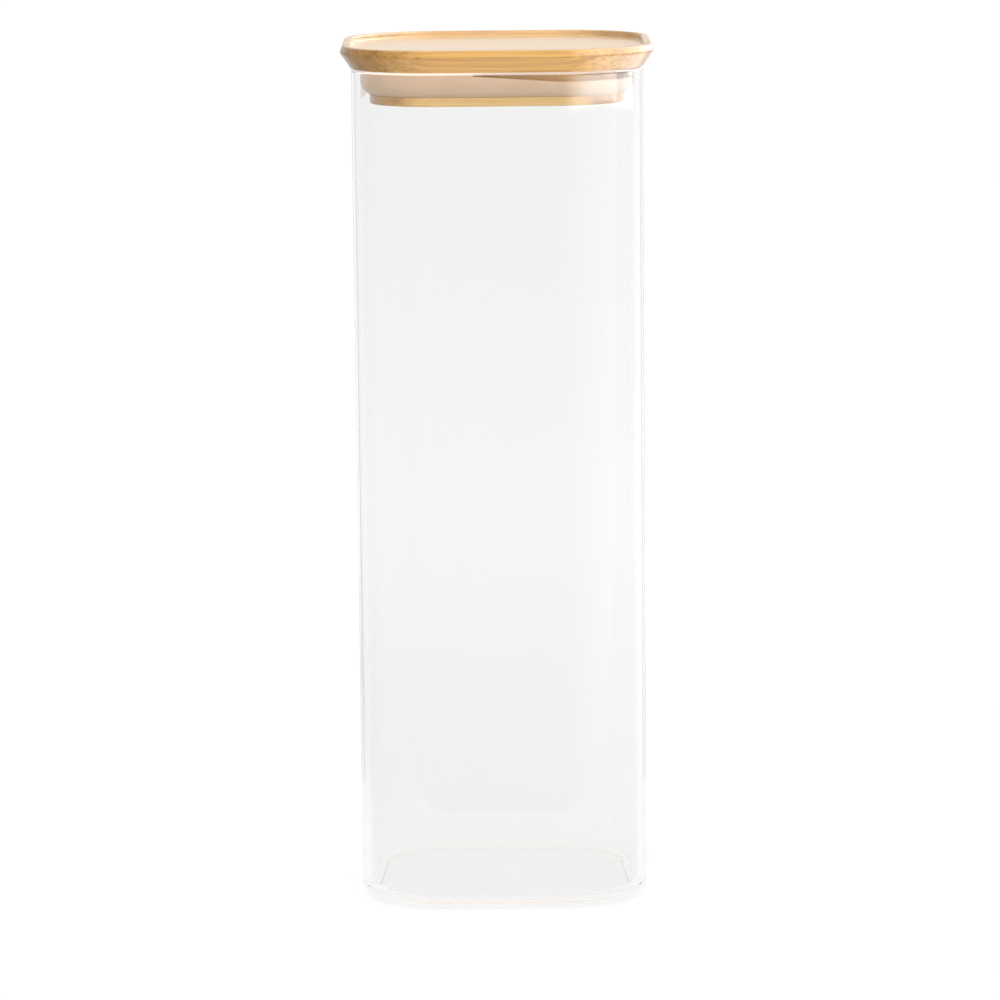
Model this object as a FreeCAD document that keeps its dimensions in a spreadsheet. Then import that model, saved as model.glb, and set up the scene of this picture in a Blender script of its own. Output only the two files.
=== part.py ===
import FreeCAD, Part
import math
import os
import re
import Sketcher

# Tall square glass canister with a push-in bamboo lid.
# The lid is glued up from bamboo strips in three plies: a cover with a sunken top, a neck and a flange.
# A silicone lip seal is stretched round the neck, between the cover and the flange.
# Origin: centre of the underside of the glass. +Z is up and -Y is the front.

# Driving dimensions in millimetres. A width is measured across the flats of a rounded square.
# A gap is measured down from the rim of the glass.
SIZES = {
    "mouth_width": 100.0,
    "foot_width": 98.8,
    "flat_length": 40.0,
    "glass_height": 288.0,
    "wall": 3.0,
    "floor_thickness": 3.2,
    "heel_radius": 5.0,
    "inner_heel_radius": 4.0,
    "rim_radius": 1.2,
    "cover_width": 107.6,
    "cover_top_width": 105.6,
    "cover_height": 7.8,
    "cover_edge_height": 5.5,
    "cover_edge_radius": 0.9,
    "cover_base_radius": 0.4,
    "recess_width": 100.4,
    "recess_depth": 2.2,
    "recess_floor_radius": 0.8,
    "recess_lip_radius": 0.5,
    "neck_width": 82.0,
    "neck_height": 8.7,
    "flange_width": 87.2,
    "flange_height": 3.1,
    "flange_edge_radius": 0.6,
    "strip_width": 22.0,
    "seal_width": 93.6,
    "seal_foot_width": 86.8,
    "seal_lip_gap": 2.0,
    "seal_lip_thickness": 1.1,
    "seal_belly_gap": 3.4,
    "seal_leg_gap": 2.6,
    "seal_leg_thickness": 1.6,
    "seal_web": 2.7,
}
SHEET = "Sizes"
PARTS_FOLDER = "parts"
COVER_TOP = "glass_height + cover_height"
NECK_BOTTOM = "glass_height - neck_height"

# How far an edge may stray from its height and still count as level.
LEVEL_TOLERANCE = 1e-4
# Corner radius of a rounded square before its dimensions are solved.
START_RADIUS = 25.0
# Places on a sketch element, and the sketch origin, as the sketcher numbers them.
START, END, CENTRE = 1, 2, 3
SKETCH_ORIGIN = (-1, START)


def size_sheet(doc):
    """Spreadsheet with one named cell for each driving dimension."""
    sheet = doc.addObject("Spreadsheet::Sheet", SHEET)
    for row, (alias, value) in enumerate(SIZES.items(), start=1):
        sheet.set(f"A{row}", alias)
        sheet.set(f"B{row}", str(value))
        sheet.setAlias(f"B{row}", alias)
    doc.recompute()


def formula(text):
    """Expression on the sheet: every driving dimension named in the text becomes its cell."""
    return re.sub(r"[a-z_]+", lambda word: f"{SHEET}.{word[0]}" if word[0] in SIZES else word[0], text)


def level(text):
    """Height in millimetres of a sum of driving dimensions."""
    signed = re.findall(r"([+-]?) ?([a-z_]+)", text)
    return sum(-SIZES[word] if sign == "-" else SIZES[word] for sign, word in signed)


def new_sketch(body, name, role, height=None):
    """Empty sketch on one of its body's origin planes, raised to a height."""
    sketch = body.newObject("Sketcher::SketchObject", name)
    plane = next(feature for feature in body.Origin.OriginFeatures if feature.Role == role)
    sketch.AttachmentSupport = [(plane, "")]
    sketch.MapMode = "FlatFace"
    if height:
        sketch.setExpression("AttachmentOffset.Base.z", formula(height))
    return sketch


def bind(sketch, name, text, constraint):
    """Adds a named dimension to a sketch and binds it to the sheet."""
    index = sketch.addConstraint(constraint)
    sketch.renameConstraint(index, name)
    sketch.setExpression(f"Constraints.{name}", formula(text))


def span(sketch, name, text, first, second, kind="DistanceX"):
    """Dimension from one sketch point to another, to its right or above it."""
    gap = sketch.getPoint(*second) - sketch.getPoint(*first)
    value = gap.x if kind == "DistanceX" else gap.y
    bind(sketch, name, text, Sketcher.Constraint(kind, *first, *second, value))


def rounded_square(body, name, height, width):
    """Square with round corners. All share the corner centres, so they are offsets of each other."""
    sketch = new_sketch(body, name, "XY_Plane", height)
    quarter = math.pi / 2
    flat = SIZES["flat_length"] / 2
    for side in range(4):
        turn = FreeCAD.Rotation(FreeCAD.Vector(0, 0, 1), math.degrees(side * quarter))
        first = turn * FreeCAD.Vector(-flat, -flat - START_RADIUS, 0)
        last = turn * FreeCAD.Vector(flat, -flat - START_RADIUS, 0)
        centre = turn * FreeCAD.Vector(flat, -flat, 0)
        circle = Part.Circle(centre, FreeCAD.Vector(0, 0, 1), START_RADIUS)
        sketch.addGeometry(Part.LineSegment(first, last), False)
        sketch.addGeometry(Part.ArcOfCircle(circle, (side - 1) * quarter, side * quarter), False)
    front, right, back, left = 0, 2, 4, 6
    corners = (1, 3, 5, 7)
    for edge in range(8):
        sketch.addConstraint(Sketcher.Constraint("Tangent", edge, END, (edge + 1) % 8, START))
    for edge in (front, back):
        sketch.addConstraint(Sketcher.Constraint("Horizontal", edge))
    for edge in (left, right):
        sketch.addConstraint(Sketcher.Constraint("Vertical", edge))
    for corner in corners[1:]:
        sketch.addConstraint(Sketcher.Constraint("Equal", corners[0], corner))
    sketch.addConstraint(Sketcher.Constraint("Equal", front, right))
    opposite = (corners[1], CENTRE, corners[3], CENTRE)
    sketch.addConstraint(Sketcher.Constraint("Symmetric", *opposite, *SKETCH_ORIGIN))
    span(sketch, "flat", "flat_length", (front, START), (front, END))
    span(sketch, "width", width, (left, START), (right, START))
    return sketch


def extrude(body, kind, name, outline, length, lean=None):
    """Pad or Pocket of an outline, with sides that lean outwards where an angle is given."""
    body.Document.recompute()
    feature = body.newObject(f"PartDesign::{kind}", name)
    feature.Profile = outline
    feature.setExpression("Length", formula(length))
    if lean:
        feature.setExpression("TaperAngle", formula(lean))
    body.Document.recompute()
    return feature


def require_cut(before, feature):
    """Stops the build if a pocket took nothing off the solid before it."""
    if feature.Shape.Volume >= before.Shape.Volume:
        raise RuntimeError(f"{feature.Name} cut nothing")


def round_level_edges(body, name, height, radius, within=math.inf):
    """Fillet on the body's edges that lie level at a height, inside a width where one is given."""
    base = body.Tip
    names = []
    for number, edge in enumerate(base.Shape.Edges, start=1):
        box = edge.BoundBox
        strays = max(abs(box.ZMin - height), abs(box.ZMax - height))
        reach = max(box.XMax, -box.XMin, box.YMax, -box.YMin)
        if strays < LEVEL_TOLERANCE and 2 * reach <= within + LEVEL_TOLERANCE:
            names.append(f"Edge{number}")
    feature = body.newObject("PartDesign::Fillet", name)
    feature.Base = (base, names)
    feature.setExpression("Radius", formula(radius))
    body.Document.recompute()


def make_jar(doc):
    """Glass body: walls that open slightly upwards, a round heel and a fire-polished rim."""
    body = doc.addObject("PartDesign::Body", "GlassJar")
    body.Label = "glass_jar"
    draft = "atan((mouth_width - foot_width) / 2 / glass_height)"
    foot = rounded_square(body, "FootOutline", None, "foot_width")
    extrude(body, "Pad", "OuterWall", foot, "glass_height", draft)
    round_level_edges(body, "Heel", 0, "heel_radius")
    solid = body.Tip
    floor = rounded_square(body, "FloorOutline", "floor_thickness", "foot_width - 2 * wall")
    cavity = extrude(body, "Pocket", "Cavity", floor, "glass_height", draft)
    cavity.Reversed = True
    doc.recompute()
    require_cut(solid, cavity)
    round_level_edges(body, "InnerHeel", level("floor_thickness"), "inner_heel_radius")
    round_level_edges(body, "Rim", level("glass_height"), "rim_radius")
    return body


def make_cover(doc):
    """Cover ply before it is divided: sides bevelled out and in again, a raised rim and a sunken top."""
    body = doc.addObject("PartDesign::Body", "Cover")
    base = rounded_square(body, "CoverBase", "glass_height", "mouth_width")
    flare = "atan((cover_width - mouth_width) / 2 / cover_edge_height)"
    extrude(body, "Pad", "Flare", base, "cover_edge_height", flare)
    crease = rounded_square(body, "CoverCrease", "glass_height + cover_edge_height", "cover_width")
    crown_height = "cover_height - cover_edge_height"
    lean_in = f"atan((cover_top_width - cover_width) / 2 / ({crown_height}))"
    extrude(body, "Pad", "Crown", crease, crown_height, lean_in)
    round_level_edges(body, "EasedCrease", level("glass_height + cover_edge_height"), "cover_edge_radius")
    round_level_edges(body, "EasedTop", level(COVER_TOP), "cover_edge_radius")
    round_level_edges(body, "EasedBase", level("glass_height"), "cover_base_radius")
    solid = body.Tip
    opening = rounded_square(body, "RecessOutline", COVER_TOP, "recess_width")
    recess = extrude(body, "Pocket", "Recess", opening, "recess_depth")
    require_cut(solid, recess)
    round_level_edges(body, "RecessFloor", level(COVER_TOP + " - recess_depth"), "recess_floor_radius")
    round_level_edges(body, "RecessLip", level(COVER_TOP), "recess_lip_radius", SIZES["recess_width"])
    return body


def make_neck(doc):
    """Middle ply before it is divided. The seal is stretched round it."""
    body = doc.addObject("PartDesign::Body", "Neck")
    outline = rounded_square(body, "NeckOutline", NECK_BOTTOM, "neck_width")
    extrude(body, "Pad", "NeckPad", outline, "neck_height")
    return body


def make_flange(doc):
    """Lowest ply before it is divided. It is wider than the neck and keeps the seal on."""
    body = doc.addObject("PartDesign::Body", "Flange")
    bottom = f"{NECK_BOTTOM} - flange_height"
    outline = rounded_square(body, "FlangeOutline", bottom, "flange_width")
    extrude(body, "Pad", "FlangePad", outline, "flange_height")
    round_level_edges(body, "EasedFlange", level(bottom), "flange_edge_radius")
    return body


def make_strips(doc, ply, label, count, first):
    """Bamboo strips of one ply, front to back. The first starts some strip widths from the middle."""
    strips = []
    for number in range(count):
        slab = doc.addObject("Part::Box", f"{ply.Name}Slab{number + 1}")
        slab.setExpression("Length", formula("2 * cover_width"))
        slab.setExpression("Width", formula("strip_width"))
        slab.setExpression("Height", formula("2 * glass_height"))
        slab.setExpression(".Placement.Base.x", formula("-cover_width"))
        slab.setExpression(".Placement.Base.y", formula(f"({first} + {number}) * strip_width"))
        strip = doc.addObject("Part::Common", f"{ply.Name}Strip{number + 1}")
        strip.Base = ply
        strip.Tool = slab
        strip.Label = f"{label}_{number + 1}"
        strips.append(strip)
    doc.recompute()
    return strips


def seal_section(body):
    """Section of the lip seal: a leg on the neck, a web on the flange and a curved lip at the glass."""
    sketch = new_sketch(body, "LipSection", "XZ_Plane")
    rim = SIZES["glass_height"]
    neck = SIZES["neck_width"] / 2
    leg = neck + SIZES["seal_leg_thickness"]
    foot = SIZES["seal_foot_width"] / 2
    leg_top = rim - SIZES["seal_leg_gap"]
    bottom = rim - SIZES["neck_height"]
    web_top = bottom + SIZES["seal_web"]
    lip_top = rim - SIZES["seal_lip_gap"]
    belly = rim - SIZES["seal_belly_gap"]
    # The lip's outer face is an arc through the foot that stands upright at the belly, its widest place.
    inset = SIZES["seal_width"] / 2 - foot
    radius = ((belly - bottom) ** 2 + inset**2) / (2 * inset)
    inner_radius = radius - SIZES["seal_lip_thickness"]
    centre = foot + inset - radius

    def on_arc(arc_radius, height):
        return FreeCAD.Vector(centre + math.sqrt(arc_radius**2 - (height - belly) ** 2), height, 0)

    points = [
        FreeCAD.Vector(neck, leg_top, 0),
        FreeCAD.Vector(neck, bottom, 0),
        on_arc(radius, bottom),
        on_arc(radius, lip_top),
        on_arc(inner_radius, lip_top),
        on_arc(inner_radius, web_top),
        FreeCAD.Vector(leg, web_top, 0),
        FreeCAD.Vector(leg, leg_top, 0),
    ]
    neck_side, foot_side, outer_arc, lip_end, inner_arc, web_side, leg_side, leg_end = range(8)
    middles = {outer_arc: on_arc(radius, belly), inner_arc: on_arc(inner_radius, belly)}
    for side, (first, last) in enumerate(zip(points, points[1:] + points[:1])):
        arc = side in middles
        edge = Part.Arc(first, middles[side], last) if arc else Part.LineSegment(first, last)
        sketch.addGeometry(edge, False)
    # An arc always runs anticlockwise, so the inner one starts at the web.
    starts = {side: END if side == inner_arc else START for side in range(8)}
    for side in range(8):
        following = (side + 1) % 8
        end = START if side == inner_arc else END
        sketch.addConstraint(Sketcher.Constraint("Coincident", side, end, following, starts[following]))
    for side in (neck_side, leg_side):
        sketch.addConstraint(Sketcher.Constraint("Vertical", side))
    for side in (foot_side, lip_end, web_side, leg_end):
        sketch.addConstraint(Sketcher.Constraint("Horizontal", side))
    sketch.addConstraint(Sketcher.Constraint("Coincident", outer_arc, CENTRE, inner_arc, CENTRE))
    span(sketch, "neck", "neck_width / 2", SKETCH_ORIGIN, (neck_side, START))
    span(sketch, "leg", "seal_leg_thickness", (neck_side, START), (leg_side, START))
    span(sketch, "foot", "seal_foot_width / 2", SKETCH_ORIGIN, (foot_side, END))
    span(sketch, "lip", "seal_lip_thickness", (lip_end, END), (lip_end, START))
    heights = {
        "leg_top": ("glass_height - seal_leg_gap", (neck_side, START)),
        "bottom": ("glass_height - neck_height", (foot_side, START)),
        "web_top": ("glass_height - neck_height + seal_web", (web_side, START)),
        "lip_top": ("glass_height - seal_lip_gap", (lip_end, START)),
        "belly": ("glass_height - seal_belly_gap", (outer_arc, CENTRE)),
    }
    for name, (text, point) in heights.items():
        span(sketch, name, text, SKETCH_ORIGIN, point, "DistanceY")
    drop = "(neck_height - seal_belly_gap)"
    overhang = "((seal_width - seal_foot_width) / 2)"
    arc_radius = f"({drop} ^ 2 + {overhang} ^ 2) / (2 * {overhang})"
    bind(sketch, "lip_radius", arc_radius, Sketcher.Constraint("Radius", outer_arc, radius))
    return sketch


def make_seal(doc):
    """Silicone lip seal: its section swept round the neck."""
    body = doc.addObject("PartDesign::Body", "SiliconeSeal")
    body.Label = "silicone_seal"
    path = rounded_square(body, "NeckPath", NECK_BOTTOM, "neck_width")
    section = seal_section(body)
    doc.recompute()
    sweep = body.newObject("PartDesign::AdditivePipe", "LipSweep")
    sweep.Profile = section
    sweep.Spine = path
    doc.recompute()
    return body


def check(doc, pieces):
    """Stops the build if an object failed or a piece isn't one valid solid."""
    for thing in doc.Objects:
        if {"Invalid", "Error"} & set(thing.State):
            raise RuntimeError(f"{thing.Name} failed: {thing.getStatusString()}")
        if thing.TypeId == "Sketcher::SketchObject" and not thing.FullyConstrained:
            raise RuntimeError(f"{thing.Name} is not fully constrained")
    for piece in pieces:
        shape = piece.Shape
        if shape.isNull() or not shape.isValid() or len(shape.Solids) != 1:
            raise RuntimeError(f"{piece.Label} is not one valid solid")


def main():
    doc = FreeCAD.newDocument("Canister")
    size_sheet(doc)
    pieces = [make_jar(doc), make_seal(doc)]
    # The joints of the neck lie between those of the plies above and below it, as bricks do.
    pieces += make_strips(doc, make_cover(doc), "cover_strip", 5, -2.5)
    pieces += make_strips(doc, make_neck(doc), "neck_strip", 4, -2)
    pieces += make_strips(doc, make_flange(doc), "flange_strip", 5, -2.5)
    check(doc, pieces)
    os.makedirs(PARTS_FOLDER, exist_ok=True)
    for piece in pieces:
        piece.Shape.exportStep(os.path.join(PARTS_FOLDER, f"{piece.Label}.step"))
        box = piece.Shape.optimalBoundingBox(False)
        print(f"{piece.Label}: {box.XLength:.1f} x {box.YLength:.1f} x {box.ZLength:.1f} mm")


main()
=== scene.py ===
"""Looks of a square glass canister with a bamboo lid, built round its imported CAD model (metres)."""

import math

import bmesh
import bpy
from mathutils import Matrix, Vector


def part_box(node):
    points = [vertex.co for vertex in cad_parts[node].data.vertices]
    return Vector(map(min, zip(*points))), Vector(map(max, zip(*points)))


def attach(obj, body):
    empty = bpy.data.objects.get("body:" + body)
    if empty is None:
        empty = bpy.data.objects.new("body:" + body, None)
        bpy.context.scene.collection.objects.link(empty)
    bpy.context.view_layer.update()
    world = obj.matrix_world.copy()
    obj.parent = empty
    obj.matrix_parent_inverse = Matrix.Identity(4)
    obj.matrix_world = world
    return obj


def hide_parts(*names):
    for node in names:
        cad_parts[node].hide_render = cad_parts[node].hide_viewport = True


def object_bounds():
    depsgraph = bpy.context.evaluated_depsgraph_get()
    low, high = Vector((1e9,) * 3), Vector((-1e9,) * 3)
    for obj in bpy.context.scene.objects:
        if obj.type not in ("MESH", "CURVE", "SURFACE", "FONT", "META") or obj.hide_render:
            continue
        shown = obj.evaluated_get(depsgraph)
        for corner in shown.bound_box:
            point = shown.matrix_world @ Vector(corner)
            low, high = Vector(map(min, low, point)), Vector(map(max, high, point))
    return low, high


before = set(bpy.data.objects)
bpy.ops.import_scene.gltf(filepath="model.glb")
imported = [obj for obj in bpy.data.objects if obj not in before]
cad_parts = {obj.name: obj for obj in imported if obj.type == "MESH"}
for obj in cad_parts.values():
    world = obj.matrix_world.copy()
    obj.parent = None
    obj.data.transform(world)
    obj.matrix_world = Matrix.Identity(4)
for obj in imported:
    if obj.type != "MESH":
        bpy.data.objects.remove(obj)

cad_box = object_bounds()
glass_low, glass_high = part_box("glass_jar")
seal_low, seal_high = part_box("silicone_seal")

# Sizes that the pieces share. Every outline is a square whose four corner centres stand at the same place.
MM = 0.001
CORNER_CENTRE = 20 * MM
CORNER_STEPS = 96

# How near a height counts as the same, and how far up the normals of level faces and of walls may point
SAME_HEIGHT = 0.001 * MM
LEVEL_NORMAL = 0.99
WALL_NORMAL = 0.5

# Glass
WALL = 3 * MM
FLOOR_THICKNESS = 3.2 * MM
FOOT_WIDTH = 98.8 * MM
HEEL_RADIUS = 5 * MM
HEEL_STEPS = 12
INNER_HEEL_RADIUS = 4 * MM
INNER_HEEL_STEPS = 10
RIM_RADIUS = 1.2 * MM
RIM_STEPS = 6
# The band at the top of the rim is ground rough and also carries a painted glow.
GROUND_AND_GLOW_BAND = 0.95 * MM
GROUND_AND_GLOW_BAND_FADE = 0.35 * MM

# Seal
LIP_THICKNESS = 1.1 * MM
BELLY_DROP = 1.4 * MM
BELLY_WIDTH = 93.6 * MM
SEAL_BORE_WIDTH = 82 * MM
BELLY_RADIUS = 5.83 * MM
BELLY_STEPS = 10
CHANNEL_DEPTH = 4 * MM
CHANNEL_LEAN = 0.65 * MM
LEG_THICKNESS = 1.6 * MM
LEG_HEIGHT = 1.6 * MM
LIP_RISE = 1.45 * MM
LIP_RISE_END = -6 * MM
LIP_DIP = 1.3 * MM
LIP_DIP_START = 22 * MM
LIP_FADE = 26 * MM

# Bamboo
STRIP_WIDTH = 22 * MM
RECESS_WIDTH = 100.4 * MM
RECESS_DEPTH = 2.2 * MM
RECESS_FADE = 0.3 * MM
FIBRE_SWAY = 1.6 * MM
STRIP_SHIFT = 40
FLECK_EDGE = (0.1, 0.42)
END_GRAIN_TURN = (0.25, 0.6)

# How much each pattern does to the bamboo's tone, colour, relief and roughness
BAND_TONE = 0.55
STREAK_TONE = 0.6
STRIP_TONE = 0.12
FLECK_TONE = 0.13
# The sunken top's extra paleness below is painted sheen.
PAINTED_RECESS_SHEEN_TONE = 0.1
PAINTED_RECESS_SHEEN_MIX = 0.35
STREAK_RELIEF = 0.6
FLECK_RELIEF = 0.5
WOOD_ROUGHNESS = 0.4
STREAK_ROUGHNESS = 0.2
END_GRAIN_ROUGHNESS = 0.08

# Patterns: how many patches there are to the metre along X, Y and Z. They run from 0 to 1 about the middle.
NOISE_MIDDLE = 0.5
GLASS_LINES = (60, 60, 6)
GLASS_CLOUDS = (15, 15, 9)
SILICONE_CLOUDS = (90, 90, 90)
SILICONE_GRAIN = (2500, 2500, 2500)
BAMBOO_SWAY = (14, 60, 60)
BAMBOO_STREAKS = (16, 1100, 1100)
BAMBOO_BANDS = (5, 190, 190)
BAMBOO_FLECKS = (22, 1000, 1000)

# Camera, fitted to the photograph
CAMERA_PLACE = Vector((-0.0004, -2.0766, 0.4329))
CAMERA_PITCH = math.radians(8.15)
CAMERA_ROLL = math.radians(-0.57)
CAMERA_LENS = 216.6
CAMERA_FILM = 36
CAMERA_REACH = 100

# Table. It just enters the glass, so that no film of air shows in the base. A brightness of 1 is white.
TABLE_WIDTH = 30
TABLE_FRONT = -0.22
TABLE_HEIGHT = 0.02 * MM
TABLE_GREY = 0.3
TABLE_NEAR_LIGHT = 0.8
TABLE_FAR_LIGHT = 0.89
TABLE_NEAR_TO_FAR = (0.1, 1)

# The shade under the foot, which starts to fade this far inside the foot's edge
CONTACT_SHADE = 0.07
CONTACT_EDGE = 5.9 * MM
CONTACT_FADE = 6 * MM

# What the glass mirrors of the table: a bright stretch far to the right and a dim one at the front left.
# Each pair gives where a change starts and ends.
SHEEN_LIGHT = 7
SHEEN_DISTANCE = (3.42, 3.55)
SHEEN_SIDE = (1, 1.5)
SHEEN_SLANT = 0.5
SHEEN_BACK = (-0.1, 0.5)
GLOOM = 0.7
GLOOM_SIDE = (-0.3, -0.1)
GLOOM_SLANT = 1.4
GLOOM_BACK = (-0.1, 0.3)

# The studio: the light that falls on matt surfaces, and what glass and lacquer mirror of it by direction
AMBIENT_LIGHT = 0.45
LEFT_LIGHT = 0.3
ROOM_LIGHT = 0.4
LEFT_TO_ROOM = (-0.6, -0.54)
WALL_LIGHT = 0.95
WALL_SLANT = 0.7
ROOM_TO_WALL = (-0.2, 0.8)
PANEL_LIGHT = 10.8
PANEL_FOOT_LIGHT = 0.81
PANEL_SIDE = (0.1, 0.85)
PANEL_BACK = (0.4, 0.9)
PANEL_TILT = 0.0032
PANEL_LOWER_EDGE = (-0.0839, -0.0819)
PANEL_UPPER_EDGE = (-0.03, 0.03)
GLINT_LIGHT = 3.5
GLINT_SIDE = (0.25, 0.5)
GLINT_SLANT = 0.2
GLINT_LOWER_EDGE = (0.18, 0.26)

# Light caught in the glass turns back many times before it leaves. With fewer bounces the edges go dark.
LIGHT_BOUNCES = 64

BLACK = (0, 0, 0, 1)
WHITE = (1, 1, 1, 1)


def colour(hex_code, alpha=1.0):
    """A linear colour from the six hex digits of a screen colour."""
    linear = []
    for start in (0, 2, 4):
        screen = int(hex_code[start:start + 2], 16) / 255
        linear.append(screen / 12.92 if screen <= 0.04045 else ((screen + 0.055) / 1.055) ** 2.4)
    return (*linear, alpha)


# Modelling

def pick(piece, kind, test):
    """In edit mode, selects only the vertices, edges or faces that pass the test."""
    bpy.ops.mesh.select_mode(type=kind)
    bpy.ops.mesh.select_all(action="DESELECT")
    mesh = bmesh.from_edit_mesh(piece.data)
    mesh.normal_update()
    for item in {"VERT": mesh.verts, "EDGE": mesh.edges, "FACE": mesh.faces}[kind]:
        if test(item):
            item.select_set(True)
    mesh.select_flush_mode()
    bmesh.update_edit_mesh(piece.data)


def all_at(height, vertices):
    """Whether every vertex lies at a height."""
    return all(abs(vertex.co.z - height) < SAME_HEIGHT for vertex in vertices)


def level_face(height, faces_up):
    """A test for the flat face at a height that looks up or down."""
    way = 1 if faces_up else -1
    return lambda face: all_at(height, face.verts) and face.normal.z * way > LEVEL_NORMAL


def level_edges(height):
    """A test for the edges at a height where a level face meets a wall."""
    def test(edge):
        meets_wall = any(abs(face.normal.z) < WALL_NORMAL for face in edge.link_faces)
        return all_at(height, edge.verts) and meets_wall
    return test


def rounded_square(name, width, height):
    """Starts a piece in edit mode with one level face, a square with round corners, selected."""
    bpy.ops.object.select_all(action="DESELECT")
    bpy.ops.mesh.primitive_plane_add(size=width, location=(0, 0, height))
    piece = bpy.context.object
    piece.name = name
    piece.data.name = name
    bpy.ops.object.transform_apply(location=True, rotation=False, scale=False)
    bpy.ops.object.mode_set(mode="EDIT")
    bpy.ops.mesh.select_all(action="SELECT")
    bpy.ops.mesh.bevel(offset=width / 2 - CORNER_CENTRE, segments=CORNER_STEPS, affect="VERTICES")
    bpy.ops.mesh.select_all(action="SELECT")
    return piece


def extrude(distance):
    """Pulls what is selected straight up, or down."""
    bpy.ops.mesh.extrude_region_move(TRANSFORM_OT_translate={"value": (0, 0, distance)})


def widen(new_width, old_width):
    """Scales what is selected about the axis. Its corner centres move by under 0.3 mm on these pieces."""
    ratio = new_width / old_width
    bpy.ops.transform.resize(value=(ratio, ratio, 1), center_override=(0, 0, 0))


def point_outwards():
    """Turns the faces of the whole piece outwards."""
    bpy.ops.mesh.select_all(action="SELECT")
    bpy.ops.mesh.normals_make_consistent(inside=False)


def lift_softly(distance):
    """Moves the selected vertices up or down, and those near them less and less."""
    bpy.ops.transform.translate(value=(0, 0, distance), use_proportional_edit=True,
                                proportional_edit_falloff="SMOOTH", proportional_size=LIP_FADE)


def finish_shape(piece, sharp_angle):
    """Leaves edit mode with outward normals, smooth shading and flat faces that stay flat."""
    point_outwards()
    bpy.ops.object.mode_set(mode="OBJECT")
    bpy.ops.object.shade_smooth_by_angle(angle=math.radians(sharp_angle))
    weighted = piece.modifiers.new("flat faces stay flat", "WEIGHTED_NORMAL")
    weighted.keep_sharp = True
    bpy.ops.object.modifier_apply(modifier=weighted.name)


def make_glass():
    """The body: a tapering shell with a round heel inside and out, and a round rim."""
    foot = glass_low.z
    rim = glass_high.z
    mouth_width = glass_high.x - glass_low.x
    piece = rounded_square("clear_glass_body", mouth_width, foot)
    extrude(rim - foot)
    point_outwards()

    pick(piece, "FACE", level_face(foot, False))
    widen(FOOT_WIDTH, mouth_width)
    pick(piece, "EDGE", level_edges(foot))
    bpy.ops.mesh.bevel(offset=HEEL_RADIUS, segments=HEEL_STEPS, affect="EDGES")

    inner_floor = foot + FLOOR_THICKNESS
    pick(piece, "FACE", level_face(rim, True))
    bpy.ops.mesh.inset(thickness=WALL)
    extrude(inner_floor - rim)
    widen(FOOT_WIDTH - 2 * WALL, mouth_width - 2 * WALL)
    pick(piece, "EDGE", level_edges(inner_floor))
    bpy.ops.mesh.bevel(offset=INNER_HEEL_RADIUS, segments=INNER_HEEL_STEPS, affect="EDGES")
    pick(piece, "EDGE", level_edges(rim))
    bpy.ops.mesh.bevel(offset=RIM_RADIUS, segments=RIM_STEPS, affect="EDGES")
    finish_shape(piece, sharp_angle=60)
    return piece


def make_seal():
    """The ring round the neck: a belly that closes the mouth, a thin lip above it and a leg on the neck."""
    top = seal_high.z
    belly_height = top - BELLY_DROP
    slope = math.sqrt(BELLY_RADIUS ** 2 - BELLY_DROP ** 2)
    top_width = BELLY_WIDTH - 2 * (BELLY_RADIUS - slope)
    piece = rounded_square("milky_seal_ring", top_width, top)
    extrude(belly_height - top)
    widen(BELLY_WIDTH, top_width)
    point_outwards()

    # The outer face curls in below the belly, in equal steps of its arc.
    fall = belly_height - seal_low.z
    last_angle = math.asin(fall / BELLY_RADIUS) if fall < BELLY_RADIUS else math.pi / 2
    pick(piece, "FACE", level_face(belly_height, False))
    for step in range(BELLY_STEPS):
        start = last_angle * step / BELLY_STEPS
        end = last_angle * (step + 1) / BELLY_STEPS
        bpy.ops.mesh.inset(thickness=BELLY_RADIUS * (math.cos(start) - math.cos(end)),
                           depth=BELLY_RADIUS * (math.sin(end) - math.sin(start)))
    foot_width = BELLY_WIDTH - 2 * BELLY_RADIUS * (1 - math.cos(last_angle))
    bpy.ops.mesh.inset(thickness=(foot_width - SEAL_BORE_WIDTH) / 2)
    bpy.ops.mesh.delete(type="FACE")

    # From above: the lip, the channel behind it and the leg that grips the neck.
    pick(piece, "FACE", level_face(top, True))
    bpy.ops.mesh.inset(thickness=LIP_THICKNESS)
    bpy.ops.mesh.inset(thickness=CHANNEL_LEAN, depth=-CHANNEL_DEPTH)
    channel_width = top_width - 2 * (LIP_THICKNESS + CHANNEL_LEAN)
    bpy.ops.mesh.inset(thickness=(channel_width - SEAL_BORE_WIDTH) / 2 - LEG_THICKNESS)
    extrude(LEG_HEIGHT)
    bpy.ops.mesh.inset(thickness=LEG_THICKNESS)
    bpy.ops.mesh.delete(type="FACE")
    pick(piece, "EDGE", lambda edge: edge.is_boundary)
    bpy.ops.mesh.bridge_edge_loops()

    # The lip sits unevenly: up to the rim along the front left, and lower at the front right.
    pick(piece, "VERT", lambda vertex: vertex.co.z < top - SAME_HEIGHT)
    bpy.ops.mesh.hide(unselected=False)
    pick(piece, "VERT", lambda vertex: vertex.co.x < LIP_RISE_END and vertex.co.y < -CORNER_CENTRE)
    lift_softly(LIP_RISE)
    pick(piece, "VERT", lambda vertex: vertex.co.x > LIP_DIP_START and vertex.co.y < -CORNER_CENTRE)
    lift_softly(-LIP_DIP)
    bpy.ops.mesh.reveal(select=False)
    finish_shape(piece, sharp_angle=40)
    return piece


glass = make_glass()
seal = make_seal()

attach(glass, "jar")
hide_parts("glass_jar")
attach(seal, "lid")
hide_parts("silicone_seal")


# Materials

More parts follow.
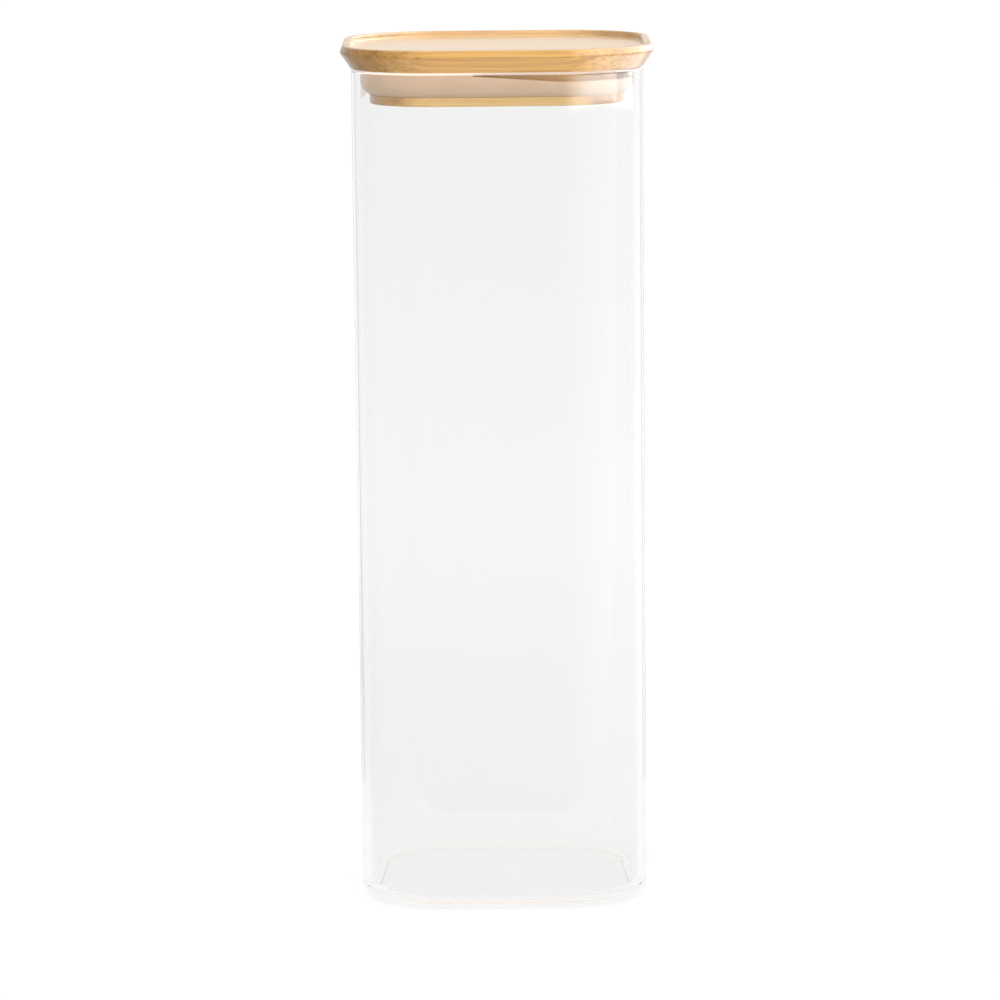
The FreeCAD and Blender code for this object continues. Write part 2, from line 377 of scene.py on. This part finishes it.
class Value:
    """One output of a node. Arithmetic on it adds Math nodes to its material."""

    def __init__(self, finish, socket):
        self.finish = finish
        self.socket = socket

    def math(self, operation, *operands):
        inputs = dict(enumerate(operands))
        return self.finish.node("ShaderNodeMath", {"operation": operation}, inputs)["Value"]

    def __add__(self, other):
        return self.math("ADD", self, other)

    def __sub__(self, other):
        return self.math("SUBTRACT", self, other)

    def __rsub__(self, other):
        return self.math("SUBTRACT", other, self)

    def __mul__(self, other):
        return self.math("MULTIPLY", self, other)

    __radd__ = __add__
    __rmul__ = __mul__

    def rounded_down(self):
        return self.math("FLOOR", self)

    def size(self):
        return self.math("ABSOLUTE", self)

    def larger(self, other):
        return self.math("MAXIMUM", self, other)

    def rise(self, start, end):
        """0 below start and 1 above end, with a smooth slope between."""
        settings = {"interpolation_type": "SMOOTHSTEP"}
        limits = {"Value": self, "From Min": start, "From Max": end}
        return self.finish.node("ShaderNodeMapRange", settings, limits)["Result"]


class Finish:
    """A material, or the world, whose nodes are made one by one."""

    def __init__(self, owner, output_kind="ShaderNodeOutputMaterial"):
        owner.use_nodes = True
        self.tree = owner.node_tree
        self.tree.nodes.clear()
        self.output_kind = output_kind

    def node(self, kind, settings=None, inputs=None):
        """Adds a node, sets it up and returns its outputs by name and by number."""
        made = self.tree.nodes.new(kind)
        for name, setting in (settings or {}).items():
            if name == "stops":
                self.set_stops(made.color_ramp, setting)
            else:
                setattr(made, name, setting)
        for key, value in (inputs or {}).items():
            if isinstance(value, Value):
                self.tree.links.new(value.socket, made.inputs[key])
            else:
                made.inputs[key].default_value = value
        outputs = {}
        for number, socket in enumerate(made.outputs):
            outputs[number] = Value(self, socket)
            outputs.setdefault(socket.name, outputs[number])
        return outputs

    def set_stops(self, ramp, stops):
        while len(ramp.elements) < len(stops):
            ramp.elements.new(1.0)
        for element, (position, tint) in zip(ramp.elements, stops):
            element.position = position
            element.color = tint

    def vector(self, x, y, z):
        return self.node("ShaderNodeCombineXYZ", {}, {"X": x, "Y": y, "Z": z})["Vector"]

    def parts(self, vector):
        outputs = self.node("ShaderNodeSeparateXYZ", {}, {"Vector": vector})
        return outputs["X"], outputs["Y"], outputs["Z"]

    def length(self, vector):
        return self.node("ShaderNodeVectorMath", {"operation": "LENGTH"}, {0: vector})["Value"]

    def past_corner_centres(self, x, y):
        """How far a place lies outside the square of the four corner centres."""
        past_x = (x.size() - CORNER_CENTRE).larger(0)
        past_y = (y.size() - CORNER_CENTRE).larger(0)
        return self.length(self.vector(past_x, past_y, 0))

    def stretched(self, place, patches, shift=0):
        """A place for a pattern that has so many patches to the metre, shifted along X."""
        x, y, z = (axis * count for axis, count in zip(place, patches))
        return self.vector(x + shift, y, z)

    def noise(self, vector, detail, roughness=0.5):
        inputs = {"Vector": vector, "Scale": 1.0, "Detail": detail, "Roughness": roughness}
        return self.node("ShaderNodeTexNoise", {}, inputs)

    def mix(self, factor, first, second):
        """Two colours, mixed. The sockets go by number, as the node has one of each name for every type."""
        settings = {"data_type": "RGBA"}
        return self.node("ShaderNodeMix", settings, {0: factor, 6: first, 7: second})[2]

    def relief(self, height, strength, depth):
        inputs = {"Strength": strength, "Distance": depth, "Height": height}
        return self.node("ShaderNodeBump", {}, inputs)["Normal"]

    def rays(self):
        """1 for a ray straight from the camera or through glass, and 1 for a ray that was just mirrored."""
        path = self.node("ShaderNodeLightPath")
        through = path["Is Transmission Ray"]
        direct = path["Is Camera Ray"].larger(through)
        mirrored = path["Is Glossy Ray"] * (1 - through)
        return direct, mirrored

    def surface(self, shader):
        self.node(self.output_kind, {}, {"Surface": shader})

    def principled(self, inputs):
        self.surface(self.node("ShaderNodeBsdfPrincipled", {}, inputs)["BSDF"])


def new_finish(name):
    """A new material and the Finish that makes its nodes."""
    material = bpy.data.materials.new(name)
    return Finish(material), material


def dress(piece, material):
    """Gives a piece one material, in a slot of its own."""
    piece.data.materials.clear()
    piece.data.materials.append(material)


def clear_glass():
    """Clear glass with faint drawing lines. Its rim is finely ground and carries a painted glow that stands
    in for light caught in it.
    """
    finish, material = new_finish("clear drawn glass")
    place = finish.parts(finish.node("ShaderNodeTexCoord")["Object"])
    draw_lines = finish.noise(finish.stretched(place, GLASS_LINES), detail=2)["Fac"]
    clouds = finish.noise(finish.stretched(place, GLASS_CLOUDS), detail=3)["Fac"]
    band_start = glass_high.z - GROUND_AND_GLOW_BAND
    # The rim band is rougher for real, and its emission is a painted glow.
    ground_and_glowing_rim = place[2].rise(band_start, band_start + GROUND_AND_GLOW_BAND_FADE)
    painted_glow_colour = (1, 0.95, 0.9, 1)
    haze = 0.012
    ground_haze = 0.45
    finish.principled({"Base Color": finish.mix(clouds, colour("f7f8f7"), colour("f9f9f8")),
                       "Roughness": clouds * haze + ground_and_glowing_rim * ground_haze,
                       "IOR": 1.47,
                       "Transmission Weight": 1.0,
                       "Normal": finish.relief(draw_lines, strength=0.02, depth=1 * MM),
                       # Painted glow on the rim: warm white emission that stands in for caught light and
                       # lights nothing.
                       "Emission Color": finish.mix(ground_and_glowing_rim, BLACK, painted_glow_colour),
                       "Emission Strength": 0.5})
    material.cycles.emission_sampling = "NONE"
    return material


def milky_silicone():
    """Silicone that lets some light through, with a fine matt grain."""
    finish, material = new_finish("milky silicone")
    place = finish.parts(finish.node("ShaderNodeTexCoord")["Object"])
    clouds = finish.noise(finish.stretched(place, SILICONE_CLOUDS), detail=3)["Fac"]
    grain = finish.noise(finish.stretched(place, SILICONE_GRAIN), detail=2)["Fac"]
    least_roughness = 0.34
    cloud_roughness = 0.12
    finish.principled({"Base Color": finish.mix(clouds, colour("f2ceac"), colour("f8dcbe")),
                       "Roughness": least_roughness + clouds * cloud_roughness,
                       "IOR": 1.41,
                       "Transmission Weight": 0.2,
                       "Normal": finish.relief(grain, strength=0.05, depth=0.2 * MM)})
    return material


def bamboo(name, strips, seed, paleness, end_darkness):
    """Lacquered strips that run along X, side by side in Y, each with its own run of fibres."""
    finish, material = new_finish(name)
    places = finish.node("ShaderNodeTexCoord")
    along, across, up = finish.parts(places["Object"])
    first_joint = -strips / 2 * STRIP_WIDTH
    strip = ((across - first_joint) * (1 / STRIP_WIDTH)).rounded_down() + seed
    luck = finish.node("ShaderNodeTexWhiteNoise", {"noise_dimensions": "1D"}, {"W": strip})["Value"]
    strip_shift = luck * STRIP_SHIFT

    # Fibres sway a little from the straight. Streaks, broad bands and flecks of fibre bundles follow them.
    sway = finish.noise(finish.stretched((along, across, up), BAMBOO_SWAY, strip_shift), detail=2)["Color"]
    sway_across, sway_up, _ = finish.parts(sway)
    fibre = (along, across + sway_across * FIBRE_SWAY, up + sway_up * FIBRE_SWAY)
    streak_place = finish.stretched(fibre, BAMBOO_STREAKS, strip_shift)
    streaks = finish.noise(streak_place, detail=3, roughness=0.6)["Fac"] - NOISE_MIDDLE
    band_place = finish.stretched(fibre, BAMBOO_BANDS, strip_shift)
    bands = finish.noise(band_place, detail=2)["Fac"] - NOISE_MIDDLE
    bundle_place = finish.stretched(fibre, BAMBOO_FLECKS, strip_shift)
    bundle = finish.node("ShaderNodeTexVoronoi", {"feature": "F1"}, {"Vector": bundle_place, "Scale": 1.0})
    flecks = 1 - bundle["Distance"].rise(*FLECK_EDGE)

    # Cut fibre ends are darker where a face turns towards X, and the sunken top is painted paler, a painted
    # sheen that stands in for the lacquer's grazing reflection.
    turn, _, _ = finish.parts(places["Normal"])
    end_grain = turn.size().rise(*END_GRAIN_TURN)
    recess_radius = RECESS_WIDTH / 2 - CORNER_CENTRE
    recess_floor = cad_box[1][2] - RECESS_DEPTH
    past_edge = finish.past_corner_centres(along, across).rise(recess_radius, recess_radius + RECESS_FADE)
    painted_sheen_on_recess = (1 - past_edge) * up.rise(recess_floor - 2 * RECESS_FADE, recess_floor - RECESS_FADE)

    # Over the sunken top the tone is raised as painted sheen.
    tone = paleness + bands * BAND_TONE + streaks * STREAK_TONE + (luck - NOISE_MIDDLE) * STRIP_TONE
    tone = tone - flecks * FLECK_TONE - end_grain * end_darkness + painted_sheen_on_recess * PAINTED_RECESS_SHEEN_TONE
    stops = [(0.0, colour("74491c")), (0.3, colour("ae7c34")),
             (0.6, colour("dea958")), (1.0, colour("f6cb7c"))]
    tint = finish.node("ShaderNodeValToRGB", {"stops": stops}, {"Fac": tone})["Color"]
    height = streaks * STREAK_RELIEF - flecks * FLECK_RELIEF
    roughness = WOOD_ROUGHNESS + streaks * STREAK_ROUGHNESS + end_grain * END_GRAIN_ROUGHNESS
    # The pale colour mixed over the sunken top is painted sheen.
    finish.principled({"Base Color": finish.mix(painted_sheen_on_recess * PAINTED_RECESS_SHEEN_MIX, tint, colour("f4dfc0")),
                       "Roughness": roughness,
                       "Coat Weight": 1.0,
                       "Coat Roughness": 0.3,
                       "Coat IOR": 1.6,
                       "Normal": finish.relief(height, strength=0.12, depth=0.2 * MM)})
    return material


dress(glass, clear_glass())
dress(seal, milky_silicone())
ply_finishes = {
    "cover": bamboo("cover bamboo", strips=5, seed=3, paleness=0.52, end_darkness=0.2),
    # The neck's higher paleness is painted light where it sits in the cover's shade.
    "neck": bamboo("neck bamboo", strips=4, seed=23, paleness=1.05, end_darkness=0.5),
    "flange": bamboo("flange bamboo", strips=5, seed=43, paleness=0.86, end_darkness=0.5),
}
for node_name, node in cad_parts.items():
    ply = node_name.split("_")[0]
    if ply in ply_finishes:
        dress(node, ply_finishes[ply])

# Clear glass throws no dark shadow.
glass.visible_shadow = False


# Stage

def make_floor():
    """A white table top that starts just in front of the canister, where the glass mirrors the dim room."""
    bpy.ops.object.select_all(action="DESELECT")
    middle = (0, TABLE_WIDTH / 2 + TABLE_FRONT, TABLE_HEIGHT)
    bpy.ops.mesh.primitive_plane_add(size=TABLE_WIDTH, location=middle)
    floor = bpy.context.object
    floor.name = "studio_floor"
    bpy.ops.object.transform_apply(location=True, rotation=False, scale=False)

    finish, material = new_finish("pale floor")
    place = finish.node("ShaderNodeTexCoord")["Object"]
    side, depth, _ = finish.parts(place)
    away = finish.length(place)
    direct, mirrored = finish.rays()
    contact_start = FOOT_WIDTH / 2 - CORNER_CENTRE - CONTACT_EDGE
    contact = 1 - finish.past_corner_centres(side, depth).rise(contact_start, contact_start + CONTACT_FADE)
    level = TABLE_NEAR_LIGHT + away.rise(*TABLE_NEAR_TO_FAR) * (TABLE_FAR_LIGHT - TABLE_NEAR_LIGHT)
    level = level - contact * CONTACT_SHADE
    sheen = away.rise(*SHEEN_DISTANCE) * side.rise(*SHEEN_SIDE)
    sheen = sheen * (1 - (depth - side * SHEEN_SLANT).rise(*SHEEN_BACK))
    gloom = (1 - side.rise(*GLOOM_SIDE)) * (1 - (depth + side * GLOOM_SLANT).rise(*GLOOM_BACK))
    level = level + mirrored * (sheen * SHEEN_LIGHT - gloom * GLOOM)

    # What is seen is a white glow that keeps shadows. Light that falls on the object comes off matt white.
    matt = finish.node("ShaderNodeBsdfDiffuse", {}, {"Color": colour("f4f4f4")})["BSDF"]
    grey = (TABLE_GREY, TABLE_GREY, TABLE_GREY, 1)
    shaded = finish.node("ShaderNodeBsdfDiffuse", {}, {"Color": grey})["BSDF"]
    glow = finish.node("ShaderNodeEmission", {}, {"Color": WHITE, "Strength": level})["Emission"]
    white = finish.node("ShaderNodeAddShader", {}, {0: shaded, 1: glow})["Shader"]
    seen = direct.larger(mirrored)
    finish.surface(finish.node("ShaderNodeMixShader", {}, {0: seen, 1: matt, 2: white})["Shader"])
    dress(floor, material)
    return floor


def make_world():
    """White for the camera, also through glass. Glass and lacquer mirror a dim room in front, white behind,
    a bright panel to the right and a glint above it."""
    world = bpy.data.worlds.new("white studio")
    bpy.context.scene.world = world
    finish = Finish(world, "ShaderNodeOutputWorld")
    side, depth, up = finish.parts(finish.node("ShaderNodeTexCoord")["Generated"])
    direct, mirrored = finish.rays()
    room = LEFT_LIGHT + side.rise(*LEFT_TO_ROOM) * (ROOM_LIGHT - LEFT_LIGHT)
    shown = room + (depth + side * WALL_SLANT).rise(*ROOM_TO_WALL) * (WALL_LIGHT - room)
    panel = side.rise(*PANEL_SIDE) * (1 - depth.rise(*PANEL_BACK)) * (1 - up.rise(*PANEL_UPPER_EDGE))
    panel_light = PANEL_FOOT_LIGHT + (up - side * PANEL_TILT).rise(*PANEL_LOWER_EDGE) * PANEL_LIGHT
    glint = side.rise(*GLINT_SIDE) * (up + depth * GLINT_SLANT).rise(*GLINT_LOWER_EDGE)
    shown = shown + panel * panel_light + glint * GLINT_LIGHT
    strength = direct + mirrored * shown + (1 - direct) * (1 - mirrored) * AMBIENT_LIGHT
    light = finish.node("ShaderNodeBackground", {}, {"Color": WHITE, "Strength": strength})
    finish.surface(light["Background"])


def make_camera():
    bpy.ops.object.camera_add()
    camera = bpy.context.object
    camera.name = "photo_camera"
    camera.data.lens = CAMERA_LENS
    camera.data.sensor_width = CAMERA_FILM
    camera.data.clip_end = CAMERA_REACH
    tilt = Matrix.Rotation(math.pi / 2 - CAMERA_PITCH, 4, "X")
    roll = Matrix.Rotation(CAMERA_ROLL, 4, "Z")
    camera.matrix_world = Matrix.Translation(CAMERA_PLACE) @ tilt @ roll
    bpy.context.scene.camera = camera


def group(name, pieces):
    """A collection of the pieces that a lamp lights."""
    collection = bpy.data.collections.new(name)
    for piece in pieces:
        collection.objects.link(piece)
    return collection


def make_lamp(name, place, aim, size, power, receivers):
    """A lamp that lights only some of the pieces, and never the glass, in which the room alone shows."""
    bpy.ops.object.light_add(type="AREA", location=place)
    lamp = bpy.context.object
    lamp.name = name
    lamp.data.shape = "RECTANGLE"
    lamp.data.size, lamp.data.size_y = size
    lamp.data.energy = power
    lamp.rotation_euler = (Vector(aim) - Vector(place)).to_track_quat("-Z", "Y").to_euler()
    lamp.visible_camera = False
    lamp.light_linking.receiver_collection = receivers
    return lamp


def make_lamps(floor):
    """Softboxes, of which the key and front ones don't show in lacquer, and a card that shows only there."""
    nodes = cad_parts
    lid_pieces = [seal, *nodes.values()]
    cover_strips = [node for node_name, node in nodes.items() if node_name.startswith("cover")]
    lit = group("lit by the softboxes", [*lid_pieces, floor])
    lit_lid = group("lit by the key", lid_pieces)
    lit_cover = group("lit by the card", cover_strips)
    key = make_lamp("key_softbox", place=(1.16, -0.31, 0.4), aim=(0, 0, 0.2), size=(2.4, 1.6),
                    power=17, receivers=lit_lid)
    key.visible_glossy = False
    front = make_lamp("front_softbox", place=(0.25, -1.9, 0.55), aim=(0, 0, 0.28), size=(2.4, 1.8),
                      power=25, receivers=lit)
    front.visible_glossy = False
    make_lamp("top_softbox", place=(0, 0.1, 1.6), aim=(0, 0, 0.2), size=(1.4, 1.4),
              power=6, receivers=lit)
    card = make_lamp("edge_card", place=(0.31, 0.2, 0.02), aim=(0.31, 0.2, 1), size=(0.3, 0.65),
                     power=1.2, receivers=lit_cover)
    card.visible_diffuse = False


make_lamps(make_floor())
make_world()
make_camera()

bpy.context.scene.view_settings.view_transform = "Standard"
paths = bpy.context.scene.cycles
paths.max_bounces = LIGHT_BOUNCES
paths.glossy_bounces = LIGHT_BOUNCES
paths.transmission_bounces = LIGHT_BOUNCES
